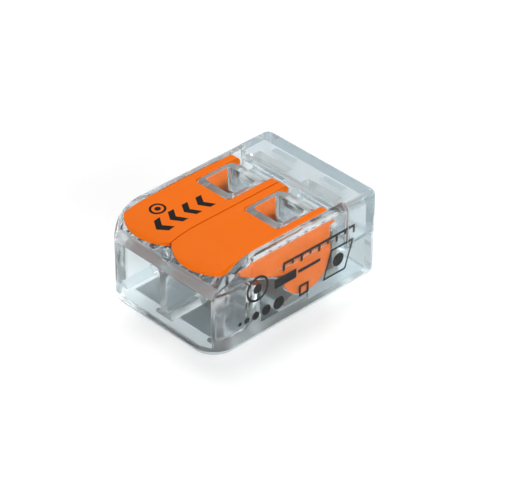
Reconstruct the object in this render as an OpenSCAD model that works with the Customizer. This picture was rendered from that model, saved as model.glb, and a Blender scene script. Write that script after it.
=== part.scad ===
// Two-way lever wire connector: clear housing with snap-on rear cover, two levers that turn on round
// discs, one busbar and two clamp springs whose ears run in cam slots of the levers.
// Frame: X across the poles, Y along the wires with the wire entries at -Y, Z up from the base. Sizes in mm.

/* [Body] */
// Overall width across both poles
body_w = 13.1; // [12.6:0.1:15]
// Overall length along the wires
body_l = 18.6; // [17.6:0.1:22]
// Overall height with the levers closed
body_h = 8.3; // [8:0.1:9.4]
// Thickness of the side walls beside the levers
wall_t = 0.77; // [0.6:0.01:0.9]
// Thickness of the floor under the busbar
floor_t = 0.9; // [0.7:0.05:1]
// Thickness of the rear wall
rear_wall_t = 1.3; // [1.1:0.05:1.5]
// Radius of the rounded top front of the side walls
front_arc_r = 5.1; // [4.4:0.1:5.4]
// Radius of the upright front corners
corner_r = 2.3; // [1.6:0.1:2.5]
// Radius of the upright rear corners
rear_r = 0.8; // [0.7:0.05:1.2]
// Radius of the bottom edges
base_r = 0.75; // [0.5:0.05:0.75]
// Radius of the top edges
edge_r = 0.6; // [0.3:0.05:0.65]
// Length of the rear cover on top
cover_l = 3.5; // [3.2:0.1:3.6]

/* [Wire entry] */
// Width of each wire mouth
mouth_w = 5.06; // [4.8:0.02:5.1]
// Height of the sill below the mouths
mouth_sill = 1; // [0.95:0.05:1.2]
// Height of the roof of the mouths
mouth_roof = 5.6; // [5.3:0.05:5.7]
// Radius of the rounded guide ledges in the lower corners of the mouths
ledge_r = 0.6; // [0.4:0.05:0.65]
// Width of the throat that leads the bare conductor to the clamp
throat_w = 3.2; // [2.8:0.1:3.6]
// Height of the throat
throat_h = 2.7; // [2.4:0.1:2.8]

/* [Levers] */
// Thickness of the lever plate
plate_t = 1.1; // [0.9:0.05:1.2]
// Thickness of the two cheeks of each lever
cheek_t = 0.75; // [0.7:0.01:0.9]
// Radius of the pivot discs of the cheeks
disc_r = 2.7; // [2.65:0.01:2.75]
// Height of the pivot axis above the base
pivot_z = 4.5; // [4.45:0.01:4.6]
// Distance of the pivot axis from the rear end
pivot_back = 7.84; // [7.8:0.02:8]
// Reach of the lever arms behind the pivot axis
arm_back = 3.05; // [2.9:0.05:3.1]
// Plan radius of the rounded lever front
lever_front_r = 4.2; // [3.8:0.1:4.6]
// Opening angle of the levers
lever_swing = 90; // [80:1:92]

/* [Clamp] */
// Thickness of the busbar
bar_t = 0.7; // [0.5:0.05:0.75]
// Thickness of the spring strip
strip_t = 0.3; // [0.2:0.02:0.32]
// Width of the spring strip
strip_w = 3.3; // [2.8:0.1:3.5]
// Slope of the closed clamp leg
leg_slope = 33; // [31:0.5:34]
// Angle by which a fully open lever lifts the clamp leg
leg_swing = 26; // [22:0.5:27]

/* [Hidden] */
$fn = 48;

// overlaps of joined forms, overshoot of cuts
lap = 0.1;
far = 1;

// clearances
lever_gap = 0.12;
side_gap = 0.08;
seat_gap = 0.08;
lever_recess = 0.1;
slot_gap = 0.15;
seam_gap = 0.04;
drum_gap = 0.1;
tongue_gap = 0.12;
cam_gap = 0.06;
bar_gap = 0.05;
notch_gap = 0.1;

// across the poles
half_w = body_w / 2;
half_l = body_l / 2;
inner_x = half_w - wall_t;
lever_out = inner_x - side_gap;
lever_half = (lever_out - lever_gap / 2) / 2;
pole_x = (lever_out + lever_gap / 2) / 2;
cheek_in = lever_half - cheek_t;
tongue_half = cheek_in - tongue_gap;
chamber_half = cheek_in - side_gap;

// heights
lever_top = body_h - lever_recess;
plate_low = lever_top - plate_t;
deck_z = mouth_roof + 0.55 * wall_t;
deck_low = mouth_roof - 0.13 * wall_t;
brow_z = deck_z + 0.4 * wall_t;
rib_top = plate_low - slot_gap;
bar_top = floor_t + bar_t;
seat_z = 0.53 * body_h;
cover_top_t = 1.35 * wall_t;
cover_low = body_h - cover_top_t;

// along the wires
cover_y = half_l - cover_l;
web_y = cover_y + 1.1 * wall_t;
rear_in = half_l - rear_wall_t;
rear_step = 0.13 * wall_t;
pivot_y = half_l - pivot_back;
arm_y = pivot_y + arm_back;
arm_r = 0.5;
arm_sweep = arm_r + sqrt(pow(arm_back - arm_r, 2) + pow(lever_top - arm_r - pivot_z, 2));
eave_y = pivot_y + lever_top - pivot_z + slot_gap;
bay_y = pivot_y - 1.185 * disc_r;
tip_y = 0.7 * wall_t - half_l;
brow_y = 1.75 * wall_t - half_l;
post_y = 0.9 * wall_t - half_l;
porch_y = 1.3 * wall_t - half_l;
front_r_y = tip_y + lever_front_r;
lip_l = 1.3 * plate_t;
lip_z = plate_low + 0.3 * plate_t;
flange_tip_y = pivot_y - 2.63 * disc_r;
flange_tip_z = plate_low - 0.55 * plate_t;
flange_knee_y = pivot_y - 1.33 * disc_r;
flange_knee_z = pivot_z + 0.17 * disc_r;
droop_y = pivot_y - 2.37 * disc_r;
droop_r = 2.6 * lever_front_r;

// deck ribs
rib_w = 0.5 * wall_t;
rib_pitch = 0.42 * strip_w;
rib_y0 = brow_y - 0.3 * wall_t;
rib_y1 = flange_tip_y - 2 * slot_gap;
rib_run = min(wall_t, 0.4 * (rib_y1 - rib_y0));
peak_y = max(brow_y, arc_y(deck_z - lap) + rib_w);
peak_half = 0.12;
peak_base = 0.6 * wall_t;
peak_top = plate_low + 0.35 * plate_t;

// partition and guides of the mouths
post_half = pole_x - mouth_w / 2;
gusset_half = 1.05 * wall_t;
gusset_h = wall_t;
groove_d = 0.13 * wall_t;
sill_r = mouth_sill - base_r;
guide_r = 0.55 * wall_t;
guide_y = 1.65 * wall_t - half_l;
guide_top = 0.72 * mouth_roof;

// window tongue of the cover, a drum about the lever axis with a flat top
tongue_front = 0.722 * disc_r;
tongue_r = sqrt(pow(lever_top - pivot_z, 2) + pow(tongue_front, 2));
notch_r = tongue_r + drum_gap;
drum_fillet = 0.4 * cheek_t;
tongue_nose = pivot_y - 1.15 * disc_r;
link_y = pivot_y + 0.74 * disc_r;
link_z = pivot_z + 0.74 * disc_r;
frame_side = 0.45 * wall_t;
frame_end = 0.7 * wall_t;
window_r = 0.4 * wall_t;
pocket_z = deck_low + 0.4 * wall_t;

// spring
bow_r = 0.55;
bow_y = pivot_y - 1.26 * disc_r;
bow_z = deck_low - bar_gap - strip_t / 2 - bow_r;
top_z = bow_z + bow_r;
root_y = bow_y - bow_r * sin(leg_slope);
root_z = bow_z - bow_r * cos(leg_slope);
leg_end_z = bar_top + bar_gap + strip_t / 2 * cos(leg_slope);
leg_len = (root_z - leg_end_z) / sin(leg_slope);
leg_seam = 0.03;
ear_s = 0.91 * strip_w;
ear_l = 0.15 * strip_w;
ear_reach = cheek_in + 0.47 * cheek_t;
ear_y = root_y + ear_s * cos(leg_slope);
ear_z = root_z - ear_s * sin(leg_slope);
cam_half = sqrt(pow(ear_l / 2, 2) + pow(strip_t / 2, 2)) + cam_gap;
cam_depth = 0.59 * cheek_t;
cam_steps = 15;
hook_z = top_z - 2 * strip_t;
bend_y = pivot_y + disc_r;
tail_y = bend_y + 0.3 * strip_w;
tail_w = 0.7 * strip_w;

// busbar
bar_end = pole_x + 0.545 * strip_w;
bar_y0 = pivot_y - 0.74 * disc_r;
stand_y = pivot_y + 1.52 * disc_r;
stand_t = 0.85 * bar_t;
stand_half = 0.485 * strip_w;
stand_top = hook_z + bar_t;
bar_y1 = stand_y + stand_t;
bar_notch_y = pivot_y + 0.9 * disc_r;
tail_over = strip_t + bar_gap;
grip_r = 0.34 * bar_t;
grip_z = bar_top - 0.5 * grip_r;
grip_l = 0.79 * strip_w;
grip_ys = [pivot_y - 0.37 * disc_r, pivot_y + 0.33 * disc_r];

// front
chamber_y = bow_y - 0.52 * disc_r;
funnel_y = chamber_y - 0.7 * disc_r;
throat_z = bar_top + notch_gap;

// snap legs of the cover
snap_half = 0.25 * mouth_w;
snap_t = 0.5 * rear_wall_t;
snap_z = 0.25 * body_h;
snap_h = 0.105 * body_h;
snap_d = 0.38 * rear_wall_t;
snap_land = 0.2 * snap_h;
stop_l = 0.3 * rear_wall_t;

// where the rounded top front of the side walls lies at a height
function arc_y(z) = front_arc_r - half_l
    - sqrt(pow(front_arc_r, 2) - pow(max(z - body_h + front_arc_r, 0), 2));
function turn(p, a) = [p[0] * cos(a) - p[1] * sin(a), p[0] * sin(a) + p[1] * cos(a)];
// place of the spring ear at a lever angle, seen from the turning disc
function ear_at(t) = turn(turn([ear_y - bow_y, ear_z - bow_z], t * leg_swing / lever_swing)
    + [bow_y - pivot_y, bow_z - pivot_z], t);
function unit(v) = v / norm(v);
function side_of(t) = let (d = unit(ear_at(t + 1) - ear_at(t - 1))) [-d[1], d[0]];

// extrudes a profile drawn in Y and Z along X
module across(x0, x1) {
    translate([x0, 0, 0]) rotate([90, 0, 90]) linear_extrude(height = x1 - x0) children();
}

// extrudes a profile drawn in X and Z along Y
module along(y0, y1) {
    translate([0, y1, 0]) rotate([90, 0, 0]) linear_extrude(height = y1 - y0) children();
}

module block(x0, x1, y0, y1, z0, z1) {
    translate([x0, y0, z0]) cube([x1 - x0, y1 - y0, z1 - z0]);
}

module both_poles() {
    for (s = [-1, 1]) translate([s * pole_x, 0, 0]) children();
}

// waste outside a rounded lower left corner at the origin
module corner_waste(r) {
    difference() {
        translate([-far, -far]) square(r + far);
        translate([r, r]) circle(r);
    }
}

// upright section between two walls, with rounded bottom and top edges
module edge_profile(w0, w1) {
    difference() {
        translate([w0, 0]) square([w1 - w0, body_h]);
        translate([w0, 0]) corner_waste(base_r);
        translate([w1, 0]) mirror([1, 0]) corner_waste(base_r);
        translate([w0, body_h]) mirror([0, 1]) corner_waste(edge_r);
        translate([w1, body_h]) mirror([1, 0]) mirror([0, 1]) corner_waste(edge_r);
    }
}

// upright corner with the bottom and top edges rolled round it
module rolled_corner(r) {
    rotate_extrude($fn = 96) intersection() {
        edge_profile(-r, r);
        square([r, body_h]);
    }
}

module outer_form(y1) {
    front_x = half_w - corner_r;
    rear_x = half_w - rear_r;
    difference() {
        union() {
            for (s = [-1, 1]) {
                translate([s * front_x, corner_r - half_l, 0]) rolled_corner(corner_r);
                translate([s * rear_x, y1 - rear_r, 0]) rolled_corner(rear_r);
            }
            along(corner_r - half_l, y1 - rear_r) edge_profile(-half_w, half_w);
            across(-front_x, front_x) edge_profile(-half_l, y1);
            across(-rear_x, rear_x) intersection() {
                edge_profile(-half_l, y1);
                square([y1, body_h]);
            }
        }
        across(-half_w - far, half_w + far)
            translate([-half_l, body_h]) mirror([0, 1]) corner_waste(front_arc_r);
    }
}

// drum about the lever axis with rounded rims
module drum(r, half, f) {
    translate([0, pivot_y, pivot_z]) rotate([0, 90, 0]) rotate_extrude($fn = 96) {
        translate([0, -half]) square([r - f, 2 * half]);
        translate([0, f - half]) square([r, 2 * (half - f)]);
        for (s = [-1, 1]) translate([r - f, s * (half - f)]) circle(f);
    }
}

// mouth section with rounded guide ledges in the lower corners
module mouth_section() {
    difference() {
        translate([-mouth_w / 2, mouth_sill]) square([mouth_w, mouth_roof - mouth_sill]);
        for (s = [-1, 1]) translate([s * mouth_w / 2, mouth_sill]) circle(ledge_r);
    }
}

module wire_channel() {
    along(-half_l - far, funnel_y) mouth_section();
    hull() {
        along(funnel_y - lap, funnel_y) mouth_section();
        block(-throat_w / 2, throat_w / 2, chamber_y, chamber_y + lap, throat_z, throat_z + throat_h);
    }
    block(-chamber_half, chamber_half, chamber_y, bay_y + lap, floor_t, deck_low);
}

// slots beside each pole for the flanges of the lever
module flange_slots() {
    for (s = [0, 1]) mirror([s, 0, 0]) across(cheek_in - slot_gap, lever_half + side_gap)
        polygon([[flange_tip_y - slot_gap, body_h + far], [flange_tip_y - slot_gap, flange_tip_z - slot_gap],
            [flange_knee_y, flange_knee_z - slot_gap], [bay_y + lap, pivot_z - slot_gap],
            [bay_y + lap, body_h + far]]);
}

// cradle under a disc, open to the rear for the swing of the arm
module cradle(x0, x1, y1) {
    across(x0, x1) difference() {
        translate([bay_y - lap, floor_t - lap]) square([y1 - bay_y + lap, pivot_z - 2 * slot_gap - floor_t]);
        translate([pivot_y, pivot_z]) circle(disc_r + seat_gap, $fn = 96);
    }
}

// ribs on the deck under the lever plate
module deck_ribs() {
    for (i = [-1.5:1.5]) across(i * rib_pitch - rib_w / 2, i * rib_pitch + rib_w / 2)
        polygon([[rib_y0, deck_z - lap], [rib_y0 + rib_run, rib_top], [rib_y1 - rib_run, rib_top],
            [rib_y1, deck_z - lap]]);
}

// peak of the partition between the lever fronts
module peak() {
    along(post_y + rib_w / 2, peak_y)
        polygon([[-peak_base, deck_z - lap], [peak_base, deck_z - lap], [peak_half, peak_top],
            [-peak_half, peak_top]]);
}

// gussets that spread the head and the foot of the partition
module post_gussets() {
    along(post_y, post_y + wall_t) {
        polygon([[-gusset_half, mouth_roof + lap], [gusset_half, mouth_roof + lap],
            [post_half - lap, mouth_roof - gusset_h], [lap - post_half, mouth_roof - gusset_h]]);
        polygon([[-gusset_half, mouth_sill - lap], [gusset_half, mouth_sill - lap],
            [post_half - lap, mouth_sill + gusset_h / 2], [lap - post_half, mouth_sill + gusset_h / 2]]);
    }
}

// upright guide with a round head on the inner side of a side wall
module wall_guide() {
    intersection() {
        translate([inner_x, guide_y, 0]) {
            translate([0, 0, mouth_sill - lap]) cylinder(h = guide_top - mouth_sill + lap, r = guide_r);
            translate([0, 0, guide_top]) sphere(guide_r);
        }
        block(0, inner_x + lap, -half_l, half_l, 0, body_h);
    }
}

module housing() {
    color("PaleTurquoise", 0.45) union() {
        difference() {
            outer_form(half_l - rear_step);
            block(-inner_x, inner_x, -half_l - far, brow_y + lap, brow_z, body_h + far);
            block(-inner_x, inner_x, brow_y, cover_y + far, deck_z, body_h + far);
            block(-inner_x, inner_x, bay_y, rear_in, floor_t, body_h + far);
            block(-half_w - far, half_w + far, cover_y, half_l + far, seat_z, body_h + far);
            block(-inner_x, inner_x, -half_l - far, post_y, mouth_sill, mouth_roof);
            across(-inner_x, inner_x) translate([-half_l, mouth_sill]) mirror([0, 1]) corner_waste(sill_r);
            both_poles() {
                wire_channel();
                flange_slots();
                block(-snap_half - notch_gap, snap_half + notch_gap, rear_in - lap,
                    rear_in + snap_d + bar_gap, snap_z - bar_gap, snap_z + snap_h + seam_gap);
            }
            for (s = [0, 1]) mirror([s, 0, 0]) {
                block(pole_x, inner_x, -half_l - far, porch_y, mouth_sill, mouth_roof);
                block(inner_x - lap, inner_x + groove_d, bay_y, cover_y, deck_low - groove_d, deck_low);
            }
        }
        for (s = [0, 1]) mirror([s, 0, 0]) {
            cradle(pole_x + cheek_in - bar_gap, inner_x + lap, pivot_y + lap);
            wall_guide();
        }
        cradle(cheek_in - pole_x + bar_gap, pole_x - cheek_in - bar_gap, bar_y0 - seat_gap);
        both_poles() {
            deck_ribs();
            block(-snap_half, snap_half, bar_y1 + bar_gap, bar_y1 + bar_gap + stop_l, floor_t - lap,
                floor_t + bar_t);
        }
        post_gussets();
        peak();
    }
}

// opening of the window with rounded corners
module window_section() {
    w = tongue_half - frame_side;
    l = tongue_front - frame_end;
    square([2 * (w - window_r), 2 * l], center = true);
    square([2 * w, 2 * (l - window_r)], center = true);
    for (x = [-1, 1], y = [-1, 1]) translate([x * (w - window_r), y * (l - window_r)]) circle(window_r);
}

module window_tongue() {
    difference() {
        union() {
            intersection() {
                drum(tongue_r, tongue_half, drum_fillet);
                block(-half_w, half_w, tongue_nose, cover_y, deck_low, lever_top);
            }
            block(-tongue_half, tongue_half, link_y, cover_y + lap, deck_low, link_z);
        }
        translate([0, pivot_y, pocket_z]) linear_extrude(height = body_h) window_section();
    }
    block(-tongue_half, tongue_half, cover_y + seam_gap, web_y, deck_low, cover_low + lap);
}

module snap_leg() {
    block(-snap_half, snap_half, rear_in - bar_gap - snap_t, rear_in - bar_gap, snap_z, cover_low + lap);
    across(-snap_half, snap_half) polygon([[rear_in - bar_gap - lap, snap_z], [rear_in - bar_gap, snap_z],
        [rear_in + snap_d, snap_z + snap_h - snap_land], [rear_in + snap_d, snap_z + snap_h],
        [rear_in - bar_gap - lap, snap_z + snap_h]]);
}

// eave of the cover plate, clear of the swinging arms and of the lever that stands open
module eave() {
    across(side_gap - inner_x, inner_x - side_gap) difference() {
        translate([eave_y, cover_low]) square([cover_y + seam_gap + lap - eave_y, cover_top_t]);
        translate([pivot_y, pivot_z]) circle(arm_sweep + slot_gap, $fn = 180);
    }
}

module rear_cover() {
    color("LightCyan", 0.45) union() {
        difference() {
            intersection() {
                outer_form(half_l);
                block(-half_w, half_w, cover_y + seam_gap, half_l, seat_z, body_h);
            }
            block(-inner_x, inner_x, cover_y - far, rear_in + lap, seat_z - far, cover_low);
        }
        eave();
        both_poles() {
            window_tongue();
            snap_leg();
        }
    }
}

module plate_profile() {
    difference() {
        translate([tip_y, plate_low]) square([pivot_y - tip_y, plate_t]);
        difference() {
            translate([tip_y - far, plate_low]) square([droop_y - tip_y + far, plate_t + far]);
            translate([droop_y, lever_top - droop_r]) circle(droop_r, $fn = 180);
        }
    }
}

module cheek_profile() {
    translate([pivot_y, pivot_z]) circle(disc_r, $fn = 96);
    difference() {
        polygon([[arm_y, lever_top], [arm_y, plate_low], [pivot_y + disc_r - lap, plate_low - lap],
            [pivot_y + disc_r - lap, pivot_z], [pivot_y - disc_r + lap, pivot_z + lap],
            [flange_knee_y, flange_knee_z], [flange_tip_y, flange_tip_z], [flange_tip_y, plate_low + lap],
            [droop_y, lever_top]]);
        translate([arm_y, lever_top]) mirror([1, 0]) mirror([0, 1]) corner_waste(arm_r);
    }
}

// plan of the lever with the sloped lip under its rounded front
module lever_blank() {
    block(-lever_half, lever_half, front_r_y, arm_y + far, 0, body_h);
    intersection() {
        translate([0, front_r_y, 0]) rotate_extrude($fn = 96)
            polygon([[0, 0], [lever_front_r - lip_l, 0], [lever_front_r - lip_l, plate_low],
                [lever_front_r, lip_z], [lever_front_r, body_h], [0, body_h]]);
        block(-lever_half, lever_half, tip_y, front_r_y + lap, 0, body_h);
    }
}

// spiral slot that carries the spring ear
module cam_profile() {
    n = cam_steps;
    left = [for (i = [0:n]) let (t = lever_swing * i / n) ear_at(t) + cam_half * side_of(t)];
    right = [for (i = [n:-1:0]) let (t = lever_swing * i / n) ear_at(t) - cam_half * side_of(t)];
    translate([pivot_y, pivot_z]) {
        polygon(concat(left, right));
        translate(ear_at(0)) circle(cam_half);
        translate(ear_at(lever_swing)) circle(cam_half);
    }
}

module lever() {
    difference() {
        intersection() {
            union() {
                difference() {
                    across(-lever_half, lever_half) plate_profile();
                    drum(notch_r, cheek_in, drum_fillet);
                }
                for (s = [0, 1]) mirror([s, 0, 0]) across(cheek_in, lever_half) cheek_profile();
            }
            lever_blank();
        }
        for (s = [0, 1]) mirror([s, 0, 0]) across(cheek_in - lap, cheek_in + cam_depth) cam_profile();
    }
}

module lever_left() {
    color("DarkOrange") translate([-pole_x, 0, 0]) lever();
}

module lever_right() {
    color("DarkOrange") translate([pole_x, 0, 0]) lever();
}

module busbar() {
    color("Silver") union() {
        difference() {
            block(-bar_end, bar_end, bar_y0, bar_y1, floor_t, bar_top);
            across(-bar_end - far, bar_end + far)
                polygon([[bar_y0 - lap, bar_top - bar_t / 2], [bar_y0, bar_top - bar_t / 2],
                    [bar_y0 + bar_t, bar_top], [bar_y0 + bar_t, bar_top + lap],
                    [bar_y0 - lap, bar_top + lap]]);
            block(cheek_in - pole_x - notch_gap, pole_x - cheek_in + notch_gap, bar_notch_y, bar_y1 + far,
                floor_t - far, bar_top + far);
        }
        both_poles() {
            difference() {
                block(-stand_half, stand_half, stand_y, bar_y1, floor_t, stand_top);
                block(-tail_w / 2 - notch_gap, tail_w / 2 + notch_gap, stand_y - far, bar_y1 + far,
                    hook_z - strip_t / 2 - notch_gap, hook_z + strip_t / 2 + seam_gap);
            }
            for (y = grip_ys) translate([0, y, grip_z]) rotate([0, 90, 0])
                cylinder(h = grip_l, r = grip_r, center = true, $fn = 24);
        }
    }
}

// flat strip between two points of the spring's side view
module strip(p, q) {
    d = q - p;
    translate(p) rotate(atan2(d[1], d[0])) translate([0, -strip_t / 2]) square([norm(d), strip_t]);
}

module spring_anchor() {
    reach = 4 * bow_r;
    across(-strip_w / 2, strip_w / 2) {
        difference() {
            translate([bow_y, bow_z]) circle(bow_r + strip_t / 2, $fn = 64);
            translate([bow_y, bow_z]) circle(bow_r - strip_t / 2, $fn = 64);
            polygon([[bow_y, bow_z],
                [bow_y - reach * sin(leg_slope) - leg_seam, bow_z - reach * cos(leg_slope)],
                [bow_y + reach, bow_z - reach], [bow_y + reach, bow_z + reach], [bow_y, bow_z + reach]]);
        }
        strip([bow_y - lap / 2, top_z], [bend_y, top_z]);
        translate([bend_y, top_z]) circle(strip_t / 2, $fn = 24);
        strip([bend_y, top_z], [tail_y, hook_z]);
    }
    across(-tail_w / 2, tail_w / 2) {
        translate([tail_y, hook_z]) circle(strip_t / 2, $fn = 24);
        strip([tail_y, hook_z], [bar_y1 + tail_over, hook_z]);
    }
}

module clamp_leg() {
    dir = [cos(leg_slope), -sin(leg_slope)];
    root = [root_y, root_z];
    across(-strip_w / 2, strip_w / 2) strip(root + leg_seam * dir, root + leg_len * dir);
    across(-ear_reach, ear_reach) strip(root + (ear_s - ear_l / 2) * dir, root + (ear_s + ear_l / 2) * dir);
}

module spring_left() {
    color("LightSteelBlue") translate([-pole_x, 0, 0]) spring_anchor();
}

module spring_right() {
    color("LightSteelBlue") translate([pole_x, 0, 0]) spring_anchor();
}

module clamp_leg_left() {
    color("SteelBlue") translate([-pole_x, 0, 0]) clamp_leg();
}

module clamp_leg_right() {
    color("SteelBlue") translate([pole_x, 0, 0]) clamp_leg();
}

housing();
rear_cover();
lever_left();
lever_right();
busbar();
spring_left();
spring_right();
clamp_leg_left();
clamp_leg_right();
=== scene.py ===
"""Looks of a compact two-way lever wire connector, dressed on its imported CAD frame.

The clear housing, its snap-on cover, the two levers, the busbar and the clamp springs keep their
CAD shapes. This script rounds their moulded edges, gives each its material, prints plain marks on
the wall and on one lever, and sets up the studio and the camera.
"""

from __future__ import annotations

import logging
import math
from dataclasses import dataclass
from enum import Enum
from typing import Any, Callable

import bmesh
import bpy
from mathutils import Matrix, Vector


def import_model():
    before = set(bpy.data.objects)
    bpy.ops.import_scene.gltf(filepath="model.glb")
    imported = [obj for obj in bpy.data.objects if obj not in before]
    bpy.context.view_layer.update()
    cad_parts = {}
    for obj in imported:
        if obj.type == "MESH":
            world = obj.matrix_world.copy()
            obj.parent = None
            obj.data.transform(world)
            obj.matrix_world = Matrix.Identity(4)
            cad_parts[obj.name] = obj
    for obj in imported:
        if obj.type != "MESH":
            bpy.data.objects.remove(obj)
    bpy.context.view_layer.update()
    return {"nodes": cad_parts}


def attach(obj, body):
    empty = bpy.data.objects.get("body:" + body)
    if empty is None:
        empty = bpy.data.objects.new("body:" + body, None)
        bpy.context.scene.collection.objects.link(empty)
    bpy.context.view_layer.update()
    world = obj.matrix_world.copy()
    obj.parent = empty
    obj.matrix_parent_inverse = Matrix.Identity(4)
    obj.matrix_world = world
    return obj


logging.basicConfig(level=logging.INFO, format="%(name)s: %(message)s")
LOG = logging.getLogger("connector")

MM = 0.001
IMAGE_WIDTH = 510
IMAGE_HEIGHT = 490

SIDES = ("left", "right")
WHITE = "FFFFFF"
# a ray's count of bounces is tested halfway between two whole numbers
HALF_COUNT = 0.5
# a colour Mix node gives its colour on this output, and takes its two colours on inputs 6 and 7
MIXED_COLOUR = 2

# points closer than this are one point before the edges are rounded
WELD_MM = 0.001
# edges sharper than this are rounded, in this many steps
EDGE_ANGLE_DEG = 35.0
EDGE_STEPS = 3
# flat faces keep their own shading beside a rounded edge
FLAT_FACE_WEIGHT = 100

Point2 = tuple[float, float]
Point3 = tuple[float, float, float]
# lowest and highest corner of a rectangle
Corners = tuple[Point2, Point2]
# the frame's CAD objects by name
Nodes = dict[str, bpy.types.Object]


def linear(hex_colour: str) -> tuple[float, float, float, float]:
    """Turn an sRGB hex colour into linear light.

    Args:
        hex_colour: six hex digits.

    Returns:
        Linear red, green, blue and an alpha of 1.
    """
    values = [int(hex_colour[i:i + 2], 16) / 255 for i in (0, 2, 4)]
    # the standard sRGB curve
    parts = [v / 12.92 if v <= 0.04045 else ((v + 0.055) / 1.055) ** 2.4 for v in values]
    return parts[0], parts[1], parts[2], 1.0


def per_metre(size_mm: float) -> float:
    """Give the texture scale, in cells per metre, of a pattern with this cell size."""
    return 1 / (size_mm * MM)


def add_node(tree: bpy.types.NodeTree, kind: str, settings: dict[str, Any] | None = None,
             **inputs: Any) -> bpy.types.Node:
    """Add one node with its settings, values and links.

    Args:
        tree: the node tree that gets the node.
        kind: the node's type name.
        settings: attributes of the node itself.
        **inputs: input values, or output sockets to link, by socket name with _ for a space, or
            by i and a number where names repeat.

    Returns:
        The new node.
    """
    node = tree.nodes.new(kind)
    for name, value in (settings or {}).items():
        setattr(node, name, value)
    for name, value in inputs.items():
        numbered = name[0] == "i" and name[1:].isdigit()
        socket = node.inputs[int(name[1:]) if numbered else name.replace("_", " ")]
        if isinstance(value, bpy.types.NodeSocket):
            tree.links.new(value, socket)
        else:
            socket.default_value = value
    return node


def new_material(name: str) -> tuple[bpy.types.Material, bpy.types.NodeTree, bpy.types.Node]:
    """Make an empty node material.

    Args:
        name: the material's name.

    Returns:
        The material, its node tree and its output node.
    """
    material = bpy.data.materials.new(name)
    material.use_nodes = True
    tree = material.node_tree
    tree.nodes.clear()
    return material, tree, add_node(tree, "ShaderNodeOutputMaterial")


def add_object(name: str, data: bpy.types.ID) -> bpy.types.Object:
    """Put a new object into the scene.

    Args:
        name: the object's name.
        data: its mesh, lamp or camera.

    Returns:
        The new object.
    """
    item = bpy.data.objects.new(name, data)
    bpy.context.scene.collection.objects.link(item)
    return item


class Edge(Enum):
    """How far a moulded or cut edge is rounded, in millimetres."""

    CLEAR_MOULDING = 0.09
    COVER_MOULDING = 0.1
    LEVER_MOULDING = 0.13
    PUNCHED_METAL = 0.04


@dataclass(frozen=True)
class MattZone:
    """Part of a clear moulding that its mould leaves matt: a box and the finish of its faces."""

    # lowest and highest corner of the box, and the width of its soft border, in millimetres
    low: Point3
    high: Point3
    roughness: float
    clearness: float
    border: float = 0.05

    def share(self, tree: bpy.types.NodeTree,
              place: bpy.types.NodeSocket) -> bpy.types.NodeSocket:
        """Mark the box.

        Args:
            tree: the material's node tree.
            place: the point in object coordinates.

        Returns:
            A socket that is 1 inside the box and 0 outside.
        """
        axes = add_node(tree, "ShaderNodeSeparateXYZ", Vector=place).outputs
        within: list[bpy.types.NodeSocket] = []
        for axis, low, high in zip(axes, self.low, self.high):
            middle, half = (low + high) / 2 * MM, (high - low) / 2 * MM
            away = add_node(tree, "ShaderNodeMath", {"operation": "SUBTRACT"}, i0=axis, i1=middle)
            off = add_node(tree, "ShaderNodeMath", {"operation": "ABSOLUTE"}, i0=away.outputs[0])
            inside = add_node(tree, "ShaderNodeMapRange", Value=off.outputs[0], From_Min=half,
                              From_Max=half + self.border * MM, To_Min=1.0, To_Max=0.0)
            within.append(inside.outputs[0])
        plan = add_node(tree, "ShaderNodeMath", {"operation": "MULTIPLY"},
                        i0=within[0], i1=within[1])
        box = add_node(tree, "ShaderNodeMath", {"operation": "MULTIPLY"},
                       i0=plan.outputs[0], i1=within[2])
        return box.outputs[0]


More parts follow.
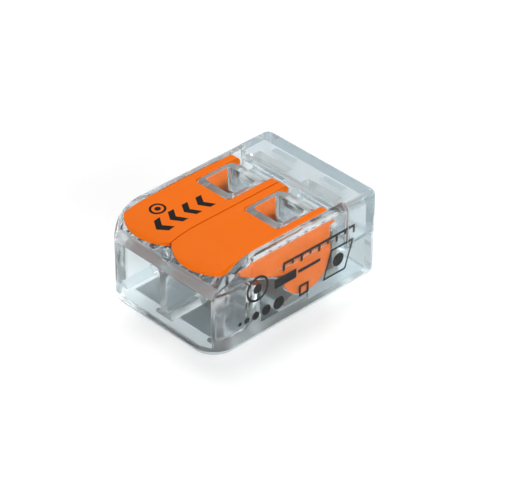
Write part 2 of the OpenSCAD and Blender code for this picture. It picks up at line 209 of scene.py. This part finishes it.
@dataclass(frozen=True)
class ClearPolycarbonate:
    """Clear polycarbonate, injection-moulded in a polished mould."""

    # to the eye: glassy and faintly grey-blue, with slow flow ripples and a breath of haze
    name: str
    tint: str = "DEE4E6"
    tint_deep: str = "D4DCDF"
    # what a face leaves of the lamps' light on its way to the works inside
    tint_thin: str = "F4F8F9"
    ior: float = 1.585
    roughness: float = 0.06
    roughness_hazy: float = 0.16
    # share of light that goes through; the rest is scattered by the haze in the plastic
    clearness: float = 0.995
    zones: tuple[MattZone, ...] = ()
    # black takes away the mirror where a face is seen square on, so that the levers show through
    # the wall in their own colour, and keeps the gleam where it is seen at a slant
    mirror_tint: str = "000000"
    ripple_mm: float = 1.6
    ripple_detail: float = 2.0
    ripple_depth_mm: float = 0.02
    ripple_strength: float = 0.5
    haze_mm: float = 0.5
    haze_detail: float = 3.0
    # a ray mirrored this often inside the wall is let out, as it would be after many more turns
    inner_mirrors: int = 3

    def material(self) -> bpy.types.Material:
        """Build the material.

        Returns:
            Glass that bends light and lets the lamps through to the works inside.
        """
        material, tree, out = new_material(self.name)
        place = add_node(tree, "ShaderNodeTexCoord").outputs["Object"]
        ripple = add_node(tree, "ShaderNodeTexNoise", Vector=place,
                          Scale=per_metre(self.ripple_mm), Detail=self.ripple_detail)
        haze = add_node(tree, "ShaderNodeTexNoise", Vector=place,
                        Scale=per_metre(self.haze_mm), Detail=self.haze_detail)
        bump = add_node(tree, "ShaderNodeBump", Strength=self.ripple_strength,
                        Distance=self.ripple_depth_mm * MM, Height=ripple.outputs[0])
        tint = add_node(tree, "ShaderNodeMix", {"data_type": "RGBA"}, i0=ripple.outputs[0],
                        i6=linear(self.tint_deep), i7=linear(self.tint))
        rough = add_node(tree, "ShaderNodeMapRange", Value=haze.outputs[0],
                         To_Min=self.roughness, To_Max=self.roughness_hazy)
        roughness, clearness = rough.outputs[0], self.clearness
        for zone in self.zones:
            matt = zone.share(tree, place)
            roughness = add_node(tree, "ShaderNodeMapRange", Value=matt,
                                 To_Min=roughness, To_Max=zone.roughness).outputs[0]
            clearness = add_node(tree, "ShaderNodeMapRange", Value=matt,
                                 To_Min=clearness, To_Max=zone.clearness).outputs[0]
        shader = add_node(tree, "ShaderNodeBsdfPrincipled",
                          Base_Color=tint.outputs[MIXED_COLOUR], Roughness=roughness,
                          IOR=self.ior, Transmission_Weight=clearness,
                          Specular_Tint=linear(self.mirror_tint), Normal=bump.outputs[0])
        path = add_node(tree, "ShaderNodeLightPath").outputs
        trapped = add_node(tree, "ShaderNodeMath", {"operation": "GREATER_THAN"},
                           i0=path["Glossy Depth"], i1=self.inner_mirrors - HALF_COUNT)
        straight = add_node(tree, "ShaderNodeMath", {"operation": "MAXIMUM"},
                            i0=path["Is Shadow Ray"], i1=trapped.outputs[0])
        through = add_node(tree, "ShaderNodeBsdfTransparent", Color=linear(self.tint_thin))
        mixed = add_node(tree, "ShaderNodeMixShader", i0=straight.outputs[0],
                         i1=shader.outputs[0], i2=through.outputs[0])
        tree.links.new(mixed.outputs[0], out.inputs["Surface"])
        return material


@dataclass(frozen=True)
class OrangePolyamide:
    """Orange polyamide, injection-moulded in a spark-eroded mould."""

    # to the eye: a strong even orange with a satin face, a fine grain and next to no mirror
    name: str = "moulded_orange_polyamide"
    colour: str = "F06B02"
    colour_pale: str = "F27308"
    ior: float = 1.5
    roughness: float = 0.36
    roughness_dry: float = 0.46
    mirror_level: float = 0.1
    cloud_mm: float = 2.4
    cloud_detail: float = 3.0
    # real spark grain is about 0.03 mm; drawn coarser so that it shows in the render
    grain_mm: float = 0.12
    grain_detail: float = 4.0
    grain_depth_mm: float = 0.004
    grain_strength: float = 0.35

    def material(self) -> bpy.types.Material:
        """Build the material.

        Returns:
            Satin orange plastic.
        """
        material, tree, out = new_material(self.name)
        place = add_node(tree, "ShaderNodeTexCoord").outputs["Object"]
        cloud = add_node(tree, "ShaderNodeTexNoise", Vector=place,
                         Scale=per_metre(self.cloud_mm), Detail=self.cloud_detail)
        grain = add_node(tree, "ShaderNodeTexNoise", Vector=place,
                         Scale=per_metre(self.grain_mm), Detail=self.grain_detail)
        bump = add_node(tree, "ShaderNodeBump", Strength=self.grain_strength,
                        Distance=self.grain_depth_mm * MM, Height=grain.outputs[0])
        colour = add_node(tree, "ShaderNodeMix", {"data_type": "RGBA"}, i0=cloud.outputs[0],
                          i6=linear(self.colour), i7=linear(self.colour_pale))
        rough = add_node(tree, "ShaderNodeMapRange", Value=grain.outputs[0],
                         To_Min=self.roughness, To_Max=self.roughness_dry)
        shader = add_node(tree, "ShaderNodeBsdfPrincipled",
                          Base_Color=colour.outputs[MIXED_COLOUR], Roughness=rough.outputs[0],
                          IOR=self.ior, Specular_IOR_Level=self.mirror_level,
                          Normal=bump.outputs[0])
        tree.links.new(shader.outputs[0], out.inputs["Surface"])
        return material


@dataclass(frozen=True)
class StripMetal:
    """Rolled strip metal, punched and bent."""

    # to the eye: a soft grey mirror, drawn into fine streaks along the rolling direction
    name: str
    colour: str
    colour_dull: str
    roughness: float
    roughness_dull: float
    # real rolling lines are a few hundredths of a millimetre; drawn coarser so that they show
    streak_mm: float = 0.1
    streak_stretch: float = 14.0
    streak_detail: float = 3.0
    streak_depth_mm: float = 0.003
    streak_strength: float = 0.4

    def material(self) -> bpy.types.Material:
        """Build the material.

        Returns:
            Metal with rolling streaks along Y.
        """
        material, tree, out = new_material(self.name)
        place = add_node(tree, "ShaderNodeTexCoord").outputs["Object"]
        drawn = add_node(tree, "ShaderNodeMapping", Vector=place,
                         Scale=(1.0, 1 / self.streak_stretch, 1.0))
        streak = add_node(tree, "ShaderNodeTexNoise", Vector=drawn.outputs[0],
                          Scale=per_metre(self.streak_mm), Detail=self.streak_detail)
        bump = add_node(tree, "ShaderNodeBump", Strength=self.streak_strength,
                        Distance=self.streak_depth_mm * MM, Height=streak.outputs[0])
        colour = add_node(tree, "ShaderNodeMix", {"data_type": "RGBA"}, i0=streak.outputs[0],
                          i6=linear(self.colour_dull), i7=linear(self.colour))
        rough = add_node(tree, "ShaderNodeMapRange", Value=streak.outputs[0],
                         To_Min=self.roughness, To_Max=self.roughness_dull)
        shader = add_node(tree, "ShaderNodeBsdfPrincipled",
                          Base_Color=colour.outputs[MIXED_COLOUR], Roughness=rough.outputs[0],
                          Metallic=1.0, Normal=bump.outputs[0])
        tree.links.new(shader.outputs[0], out.inputs["Surface"])
        return material


@dataclass(frozen=True)
class PadInk:
    """Black ink, pad-printed."""

    # to the eye: matt near-black, very slightly paler in patches where it lies thin
    name: str = "pad_printed_black_ink"
    colour: str = "100F0E"
    colour_thin: str = "1A1817"
    ior: float = 1.5
    roughness: float = 0.5
    roughness_thin: float = 0.62
    mirror_level: float = 0.1
    patch_mm: float = 0.25
    patch_detail: float = 4.0
    patch_depth_mm: float = 0.002
    patch_strength: float = 0.3

    def material(self) -> bpy.types.Material:
        """Build the material.

        Returns:
            Matt black ink.
        """
        material, tree, out = new_material(self.name)
        place = add_node(tree, "ShaderNodeTexCoord").outputs["Object"]
        patch = add_node(tree, "ShaderNodeTexNoise", Vector=place,
                         Scale=per_metre(self.patch_mm), Detail=self.patch_detail)
        bump = add_node(tree, "ShaderNodeBump", Strength=self.patch_strength,
                        Distance=self.patch_depth_mm * MM, Height=patch.outputs[0])
        colour = add_node(tree, "ShaderNodeMix", {"data_type": "RGBA"}, i0=patch.outputs[0],
                          i6=linear(self.colour), i7=linear(self.colour_thin))
        rough = add_node(tree, "ShaderNodeMapRange", Value=patch.outputs[0],
                         To_Min=self.roughness, To_Max=self.roughness_thin)
        shader = add_node(tree, "ShaderNodeBsdfPrincipled",
                          Base_Color=colour.outputs[MIXED_COLOUR], Roughness=rough.outputs[0],
                          IOR=self.ior, Specular_IOR_Level=self.mirror_level,
                          Normal=bump.outputs[0])
        tree.links.new(shader.outputs[0], out.inputs["Surface"])
        return material


def dress(piece: bpy.types.Object, material: bpy.types.Material, edge: Edge,
          gap_mm: float = 0.0) -> None:
    """Give a CAD piece its material and rounded edges by modifiers.

    Args:
        piece: the CAD piece.
        material: its finish.
        edge: how far its edges are rounded.
        gap_mm: hair gap that a face resting on clear plastic keeps from it, so that the two never
            share a plane.
    """
    piece.data.materials.clear()
    piece.data.materials.append(material)
    weld = piece.modifiers.new("weld", "WELD")
    weld.merge_threshold = WELD_MM * MM
    if gap_mm:
        gap = piece.modifiers.new("hair_gap", "DISPLACE")
        gap.mid_level = 0.0
        gap.strength = -gap_mm * MM
    bevel = piece.modifiers.new("rounded_edges", "BEVEL")
    bevel.width = edge.value * MM
    bevel.segments = EDGE_STEPS
    bevel.limit_method = "ANGLE"
    bevel.angle_limit = math.radians(EDGE_ANGLE_DEG)
    bevel.use_clamp_overlap = True
    even = piece.modifiers.new("even_shading", "WEIGHTED_NORMAL")
    even.weight = FLAT_FACE_WEIGHT
    even.keep_sharp = False
    LOG.info("dressed %s", piece.name)


@dataclass
class ClearShell:
    """Housing and snap-on rear cover, with the parts of them that are matt."""

    nodes: Nodes
    # wire mouths, their roof, and the brow over them
    mouths: MattZone = MattZone(
        (-5.8, -9.6, 0.98), (5.8, -5.2, 5.4), roughness=0.08, clearness=0.86)
    mouth_roof: MattZone = MattZone(
        (-5.8, -9.6, 5.5), (5.8, -5.2, 5.62), roughness=0.25, clearness=0.88)
    brow: MattZone = MattZone(
        (-5.8, -9.6, 5.66), (5.8, -7.9, 6.45), roughness=0.15, clearness=0.6)
    # end faces of the walls at the cover
    end_faces: MattZone = MattZone(
        (-6.6, 5.72, 4.3), (6.6, 5.88, 8.4), roughness=0.3, clearness=0.7)
    # underside, and the rounding between it and the walls
    base: MattZone = MattZone(
        (-6.6, -9.4, -0.1), (6.6, 9.4, 0.03), roughness=0.35, clearness=0.97)
    base_edge: MattZone = MattZone(
        (-6.6, -9.4, 0.1), (6.6, 9.4, 0.6), roughness=0.25, clearness=0.25)
    # cap over the rear end, and tops of the window frames, hazier than the rest of the tongues
    cap: MattZone = MattZone(
        (-6.4, 5.5, 4.2), (6.4, 9.2, 8.4), roughness=0.06, clearness=0.72)
    frame_tops: MattZone = MattZone(
        (-5.2, -2.0, 8.1), (5.2, 5.4, 8.3), roughness=0.06, clearness=0.76)
    # the cover is paler and hazier than the housing
    cover_tint: str = "E6ECEE"
    cover_tint_deep: str = "DEE5E8"
    cover_clearness: float = 0.98

    def build(self) -> None:
        """Dress the two clear mouldings."""
        housing = ClearPolycarbonate(
            "clear_polycarbonate_housing",
            zones=(self.mouths, self.mouth_roof, self.brow, self.end_faces, self.base,
                   self.base_edge))
        cover = ClearPolycarbonate(
            "clear_polycarbonate_cover", tint=self.cover_tint, tint_deep=self.cover_tint_deep,
            clearness=self.cover_clearness, zones=(self.cap, self.frame_tops))
        dress(self.nodes["housing"], housing.material(), Edge.CLEAR_MOULDING)
        dress(self.nodes["rear_cover"], cover.material(), Edge.COVER_MOULDING)


@dataclass
class Levers:
    """The two orange levers."""

    nodes: Nodes
    finish: OrangePolyamide = OrangePolyamide()

    def build(self) -> None:
        """Dress both levers."""
        material = self.finish.material()
        for side in SIDES:
            dress(self.nodes[f"lever_{side}"], material, Edge.LEVER_MOULDING)


@dataclass
class ClampWorks:
    """Busbar and clamp springs inside the housing."""

    nodes: Nodes
    # tin plate gives a pale, faintly warm and rather dull mirror
    bar_finish: StripMetal = StripMetal(
        "tin_plated_copper", colour="ECE9E2", colour_dull="9C9A96",
        roughness=0.36, roughness_dull=0.5)
    # bare spring strip is a shade darker and shinier
    spring_finish: StripMetal = StripMetal(
        "rolled_spring_steel", colour="E8E5E0", colour_dull="92908C",
        roughness=0.32, roughness_dull=0.46)
    hair_gap_mm: float = 0.01

    def build(self) -> None:
        """Dress the metal parts."""
        tin = self.bar_finish.material()
        dress(self.nodes["busbar"], tin, Edge.PUNCHED_METAL, self.hair_gap_mm)
        steel = self.spring_finish.material()
        for side in SIDES:
            dress(self.nodes[f"spring_{side}"], steel, Edge.PUNCHED_METAL)
            dress(self.nodes[f"clamp_leg_{side}"], steel, Edge.PUNCHED_METAL)


@dataclass(frozen=True)
class Band:
    """One inked shape: the strip between two edges that have the same number of points."""

    left: list[Point2]
    right: list[Point2]
    closed: bool = False

    @staticmethod
    def bar(low: Point2, high: Point2, steps: int = 6) -> Band:
        """Fill a rectangle.

        Args:
            low: its lowest corner.
            high: its highest corner.
            steps: parts along the second direction.

        Returns:
            The filled rectangle.
        """
        rows = [low[1] + (high[1] - low[1]) * i / steps for i in range(steps + 1)]
        return Band([(low[0], v) for v in rows], [(high[0], v) for v in rows])

    @staticmethod
    def ring(centre: Point2, inner: float, outer: float, steps: int = 56) -> Band:
        """Draw a ring.

        Args:
            centre: its centre.
            inner: inner radius.
            outer: outer radius.
            steps: corners round the ring.

        Returns:
            The closed ring.
        """
        u, v = centre
        turns = [2 * math.pi * i / steps for i in range(steps)]
        return Band([(u + inner * math.cos(t), v + inner * math.sin(t)) for t in turns],
                    [(u + outer * math.cos(t), v + outer * math.sin(t)) for t in turns], True)

    @staticmethod
    def dot(centre: Point2, radius: float, pinhole: float = 0.004) -> Band:
        """Draw a dot, as a ring round a pinhole too small to see."""
        return Band.ring(centre, pinhole, radius)

    @staticmethod
    def middle(corners: tuple[Point2, ...]) -> Point2:
        """Find the middle of a shape's corners."""
        count = len(corners)
        return sum(u for u, _ in corners) / count, sum(v for _, v in corners) / count

    @staticmethod
    def outline(corners: tuple[Point2, ...], shrink: float) -> Band:
        """Draw the outline of a convex shape.

        Args:
            corners: its outer corners in order.
            shrink: size of the inner outline against the outer one.

        Returns:
            The closed outline.
        """
        mid_u, mid_v = Band.middle(corners)
        inner = [(mid_u + (u - mid_u) * shrink, mid_v + (v - mid_v) * shrink) for u, v in corners]
        return Band(inner, list(corners), True)

    @staticmethod
    def chevron(tip: Point2, half: float, lean: float, stroke: float, steps: int = 12) -> Band:
        """Draw a chevron that points to the low end of the second direction.

        Args:
            tip: its tip.
            half: half of its width.
            lean: how far its arms lean back.
            stroke: its thickness along the second direction.
            steps: parts across it, so that the ink follows a curved face.

        Returns:
            The chevron.
        """
        shares = [2 * i / steps - 1 for i in range(steps + 1)]
        front = [(tip[0] + half * share, tip[1] + lean * abs(share)) for share in shares]
        return Band(front, [(u, v + stroke) for u, v in front])


@dataclass
class PrintedMarks:
    """Plain pad-printed marks on the right wall and on the left lever, in millimetres."""

    ink: PadInk = PadInk()
    film: float = 0.008
    # right wall's face; its ink lies a little under it, so that the part keeps its size
    wall_x: float = 6.55
    wall_sink: float = 0.012
    # lever's top, and start and radius of its drooping front
    lever_z: float = 8.2
    droop_y: float = -4.939
    droop_r: float = 10.92

    # wall, Y and Z: strip-length gauge, with long and short ticks that hang from its line
    gauge_y: Point2 = (-1.6, 6.5)
    gauge_z: float = 6.1
    gauge_stroke: float = 0.24
    tick_count: int = 9
    tick_inset: float = 0.1
    tick_ends_z: Point2 = (5.42, 5.68)
    # wire end: sheath's inner and outer radius, and core
    wire_end: Point2 = (-4.4, 5.1)
    wire_end_sheath_r: Point2 = (0.98, 1.2)
    wire_end_core_r: float = 0.45
    # stripped wire: sheath and bare core
    wire_sheath: Corners = ((-2.55, 4.1), (-0.1, 5.0))
    wire_core: Corners = ((0.1, 4.4), (2.6, 4.7))
    # leaning plate with a dot in its middle
    plate: tuple[Point2, ...] = ((2.9, 2.2), (5.5, 2.2), (6.4, 4.9), (3.8, 4.9))
    plate_shrink: float = 0.86
    plate_dot_r: float = 0.62
    # row of wire sizes, from its low end
    sizes_start: Point2 = (-6.5, 2.55)
    sizes_r: tuple[float, ...] = (0.18, 0.28, 0.38, 0.48, 0.6)
    sizes_gap: float = 0.3
    # square beside the row
    square: tuple[Point2, ...] = ((0.2, 2.0), (1.3, 2.0), (1.3, 3.1), (0.2, 3.1))
    square_shrink: float = 0.6

    # lever, X and Y: row of chevrons that point to its lifting edge
    chevron_tip: Point2 = (-2.05, -7.4)
    chevron_pitch: float = 1.5
    chevron_count: int = 4
    chevron_half: float = 0.9
    chevron_lean: float = 0.55
    chevron_stroke: float = 0.62
    # wire end beside them
    lever_end: Point2 = (-3.9, -5.6)
    lever_end_sheath_r: Point2 = (0.52, 0.72)
    lever_end_core_r: float = 0.26

    def on_wall(self, u: float, v: float, height: float) -> Point3:
        """Place a point on the right wall, u along Y and v up."""
        return self.wall_x - self.wall_sink + height, u, v

    def on_lever(self, u: float, v: float, height: float) -> Point3:
        """Place a point on the left lever's top, down its drooping front.

        Args:
            u: place along X.
            v: place along Y.
            height: how far the point stands over the face.

        Returns:
            The point in the frame.
        """
        fall = max(self.droop_y - v, 0.0)
        drop = self.droop_r - math.sqrt(self.droop_r ** 2 - fall ** 2)
        return u, v, self.lever_z - drop + height

    def gauge_bands(self) -> list[Band]:
        """Lay out the strip-length gauge.

        Returns:
            Its line and its ticks.
        """
        half = self.gauge_stroke / 2
        start, end = self.gauge_y
        under = self.gauge_z - half
        bands = [Band.bar((start, under), (end, self.gauge_z + half))]
        pitch = (end - start - 2 * self.tick_inset) / (self.tick_count - 1)
        for i in range(self.tick_count):
            y = start + self.tick_inset + pitch * i
            foot = self.tick_ends_z[i % len(self.tick_ends_z)]
            bands.append(Band.bar((y - half, foot), (y + half, under)))
        return bands

    def wall_bands(self) -> list[Band]:
        """Lay out the wall.

        Returns:
            The gauge, a wire end, a stripped wire, a plate, a row of wire sizes and a square.
        """
        bands = self.gauge_bands()
        bands += [Band.ring(self.wire_end, *self.wire_end_sheath_r),
                  Band.dot(self.wire_end, self.wire_end_core_r),
                  Band.bar(*self.wire_sheath), Band.bar(*self.wire_core),
                  Band.outline(self.plate, self.plate_shrink),
                  Band.dot(Band.middle(self.plate), self.plate_dot_r)]
        y, z = self.sizes_start
        for radius in self.sizes_r:
            bands.append(Band.dot((y + radius, z), radius))
            y += 2 * radius + self.sizes_gap
        bands.append(Band.outline(self.square, self.square_shrink))
        return bands

    def lever_bands(self) -> list[Band]:
        """Lay out the lever.

        Returns:
            A row of chevrons, and a wire end beside them.
        """
        x, y = self.chevron_tip
        bands = [Band.chevron((x, y + self.chevron_pitch * i), self.chevron_half,
                              self.chevron_lean, self.chevron_stroke)
                 for i in range(self.chevron_count)]
        bands += [Band.ring(self.lever_end, *self.lever_end_sheath_r),
                  Band.dot(self.lever_end, self.lever_end_core_r)]
        return bands

    def lay(self, name: str, body: str, bands: list[Band],
            place: Callable[[float, float, float], Point3],
            material: bpy.types.Material) -> None:
        """Print shapes on a face as one thin film.

        Args:
            name: the film's name.
            body: the CAD body that it rides on.
            bands: the inked shapes.
            place: puts a flat point and a height on the face.
            material: the ink.
        """
        # a row across a band has four points: left under and top, right under and top
        row = 4
        # underside, right side, top and left side between two rows, and the face that ends a band
        sides = ((0, 2), (2, 3), (3, 1), (1, 0))
        end = (0, 1, 3, 2)
        points: list[Vector] = []
        faces: list[tuple[int, ...]] = []
        for band in bands:
            first, count = len(points), len(band.left)
            for edges in zip(band.left, band.right):
                points += [Vector(place(*p, h)) * MM for p in edges for h in (0.0, self.film)]
            for i in range(count if band.closed else count - 1):
                a, b = first + row * i, first + row * ((i + 1) % count)
                faces += [(a + j, a + k, b + k, b + j) for j, k in sides]
            if not band.closed:
                faces += [tuple(at + j for j in end) for at in (first, first + row * (count - 1))]
        mesh = bpy.data.meshes.new(name)
        mesh.from_pydata(points, [], faces)
        shape = bmesh.new()
        shape.from_mesh(mesh)
        bmesh.ops.recalc_face_normals(shape, faces=shape.faces)
        shape.to_mesh(mesh)
        shape.free()
        mesh.materials.append(material)
        film = add_object(name, mesh)
        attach(film, body)
        LOG.info("printed %s, %d shapes", name, len(bands))

    def build(self) -> None:
        """Print both faces."""
        ink = self.ink.material()
        self.lay("wall_marks", "connector_body", self.wall_bands(), self.on_wall, ink)
        self.lay("lever_marks", "left_lever", self.lever_bands(), self.on_lever, ink)


@dataclass(frozen=True)
class Softbox:
    """Soft square lamp: where it hangs, its side and its power."""

    name: str
    place_mm: Point3
    side_mm: float
    watts: float

    def hang(self, aim_mm: Point3) -> None:
        """Hang the lamp.

        Args:
            aim_mm: the point that it is aimed at.
        """
        data = bpy.data.lights.new(self.name, "AREA")
        data.shape = "SQUARE"
        data.size = self.side_mm * MM
        data.energy = self.watts
        lamp = add_object(self.name, data)
        lamp.location = Vector(self.place_mm) * MM
        lamp.rotation_mode = "QUATERNION"
        lamp.rotation_quaternion = (lamp.location - Vector(aim_mm) * MM).to_track_quat("Z", "Y")


@dataclass
class Studio:
    """Camera, floor, world and lamps."""

    # camera, as fitted to the photograph: the point that it aims at and the pixel that shows it
    azimuth_deg: float = 46.53
    elevation_deg: float = 35.0
    focal_px: float = 2581.0
    scale_px_per_mm: float = 12.215
    aim_mm: Point3 = (0.0, 0.0, 4.0)
    aim_px: Point2 = (241.53, 243.9)
    sensor_mm: float = 36.0
    clip_m: Point2 = (0.01, 10.0)
    # white floor, and how much it glows to the eye over the light that it takes
    floor_mm: Corners = ((-600.0, -600.0), (600.0, 600.0))
    floor_drop_mm: float = 0.02
    floor_colour: str = "D8D8D8"
    floor_glow: float = 0.39
    # grey card on the floor under the wire mouths: painted shade, a dark sheet that stands in for
    # the object's contact shadow there
    painted_shade_card_mm: Corners = ((-4.9, -7.4), (4.9, -1.0))
    painted_shade_card_drop_mm: float = 0.01
    painted_shade_card_colour: str = "888C8E"
    room_light: float = 0.4
    lamps: tuple[Softbox, ...] = (
        Softbox("softbox_over", place_mm=(-60, 40, 170), side_mm=60, watts=0.1),
        Softbox("softbox_right", place_mm=(190, -60, 90), side_mm=50, watts=0.27),
        Softbox("softbox_back", place_mm=(-70, 180, 110), side_mm=50, watts=0.08),
        Softbox("softbox_left", place_mm=(-190, 20, 60), side_mm=60, watts=0.08))

    def axes(self) -> tuple[Vector, Vector, Vector]:
        """Work out the camera's directions.

        Returns:
            Right, up and back of the camera.
        """
        a, e = math.radians(self.azimuth_deg), math.radians(self.elevation_deg)
        right = Vector((math.cos(a), math.sin(a), 0))
        back = Vector((math.sin(a) * math.cos(e), -math.cos(a) * math.cos(e), math.sin(e)))
        return right, back.cross(right), back

    def camera(self) -> None:
        """Set the camera at the photograph's angle and framing."""
        right, up, back = self.axes()
        off_x = (IMAGE_WIDTH / 2 - self.aim_px[0]) / self.scale_px_per_mm
        off_y = (self.aim_px[1] - IMAGE_HEIGHT / 2) / self.scale_px_per_mm
        aim = (Vector(self.aim_mm) + right * off_x + up * off_y) * MM
        data = bpy.data.cameras.new("camera")
        data.sensor_fit = "HORIZONTAL"
        data.sensor_width = self.sensor_mm
        data.lens = self.focal_px * self.sensor_mm / IMAGE_WIDTH
        data.clip_start, data.clip_end = self.clip_m
        camera = add_object("camera", data)
        camera.location = aim + back * (self.focal_px / self.scale_px_per_mm * MM)
        camera.rotation_mode = "QUATERNION"
        camera.rotation_quaternion = (-back).to_track_quat("-Z", "Y")
        bpy.context.scene.camera = camera

    def seen_ray(self, tree: bpy.types.NodeTree) -> bpy.types.NodeSocket:
        """Tell the rays that show the background from those that only light the object.

        Args:
            tree: the floor's node tree.

        Returns:
            A socket that is 1 for camera, glossy and transmission rays that met no matt surface,
            and 0 for the rest.
        """
        path = add_node(tree, "ShaderNodeLightPath").outputs
        mirrored = add_node(tree, "ShaderNodeMath", {"operation": "MAXIMUM"},
                            i0=path["Is Glossy Ray"], i1=path["Is Transmission Ray"])
        seen = add_node(tree, "ShaderNodeMath", {"operation": "MAXIMUM"},
                        i0=path["Is Camera Ray"], i1=mirrored.outputs[0])
        unscattered = add_node(tree, "ShaderNodeMath", {"operation": "LESS_THAN"},
                               i0=path["Diffuse Depth"], i1=HALF_COUNT)
        both = add_node(tree, "ShaderNodeMath", {"operation": "MULTIPLY"},
                        i0=seen.outputs[0], i1=unscattered.outputs[0])
        return both.outputs[0]

    def sheet(self, name: str, corners_mm: Corners, drop_mm: float,
              material: bpy.types.Material) -> bpy.types.Object:
        """Lay one flat sheet.

        Args:
            name: the sheet's name.
            corners_mm: its lowest and highest corner.
            drop_mm: how far it lies under the object's base.
            material: its paper.

        Returns:
            The sheet.
        """
        (x0, y0), (x1, y1) = corners_mm
        corners = [Vector((x, y, 0)) * MM for x, y in ((x0, y0), (x1, y0), (x1, y1), (x0, y1))]
        mesh = bpy.data.meshes.new(name)
        mesh.from_pydata(corners, [], [(0, 1, 2, 3)])
        mesh.materials.append(material)
        sheet = add_object(name, mesh)
        sheet.location.z = -drop_mm * MM
        return sheet

    def floor(self) -> None:
        """Lay a white floor that stays white to the eye and still takes the object's shadow."""
        material, tree, out = new_material("white_studio_paper")
        paper = add_node(tree, "ShaderNodeBsdfDiffuse", Color=linear(self.floor_colour))
        strength = add_node(tree, "ShaderNodeMath", {"operation": "MULTIPLY"},
                            i0=self.seen_ray(tree), i1=self.floor_glow)
        glow = add_node(tree, "ShaderNodeEmission", Color=linear(WHITE),
                        Strength=strength.outputs[0])
        both = add_node(tree, "ShaderNodeAddShader", i0=paper.outputs[0], i1=glow.outputs[0])
        tree.links.new(both.outputs[0], out.inputs["Surface"])
        floor = self.sheet("floor", self.floor_mm, self.floor_drop_mm, material)

    def painted_shade_card(self) -> None:
        """Slip a grey card under the mouths as painted shade: it stands in for their contact
        shadow, so that their clear floor reads darker on the white one.
        """
        material, tree, out = new_material("painted_shade_grey_card")
        paper = add_node(tree, "ShaderNodeBsdfDiffuse", Color=linear(self.painted_shade_card_colour))
        tree.links.new(paper.outputs[0], out.inputs["Surface"])
        painted_shade_card = self.sheet("painted_shade_card", self.painted_shade_card_mm, self.painted_shade_card_drop_mm, material)

    def world(self) -> None:
        """Fill the room with even grey light; the camera looks down and only sees the floor."""
        world = bpy.data.worlds.new("studio")
        bpy.context.scene.world = world
        world.use_nodes = True
        tree = world.node_tree
        tree.nodes.clear()
        back = add_node(tree, "ShaderNodeBackground", Color=linear(WHITE),
                        Strength=self.room_light)
        out = add_node(tree, "ShaderNodeOutputWorld")
        tree.links.new(back.outputs[0], out.inputs["Surface"])

    def build(self) -> None:
        """Set up everything around the object."""
        self.camera()
        self.floor()
        # painted shade: a grey card under the mouths stands in for their contact shadow
        self.painted_shade_card()
        self.world()
        for lamp in self.lamps:
            lamp.hang(self.aim_mm)
        bpy.context.scene.view_settings.view_transform = "Standard"


def main(nodes: Nodes) -> None:
    """Build the studio and the sub-assemblies in order.

    Args:
        nodes: the frame's CAD objects by name.
    """
    for part in (Studio(), ClearShell(nodes), Levers(nodes), ClampWorks(nodes), PrintedMarks()):
        part.build()
        LOG.info("built %s", type(part).__name__)


if __name__ == "__main__":
    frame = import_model()
    main(frame["nodes"])
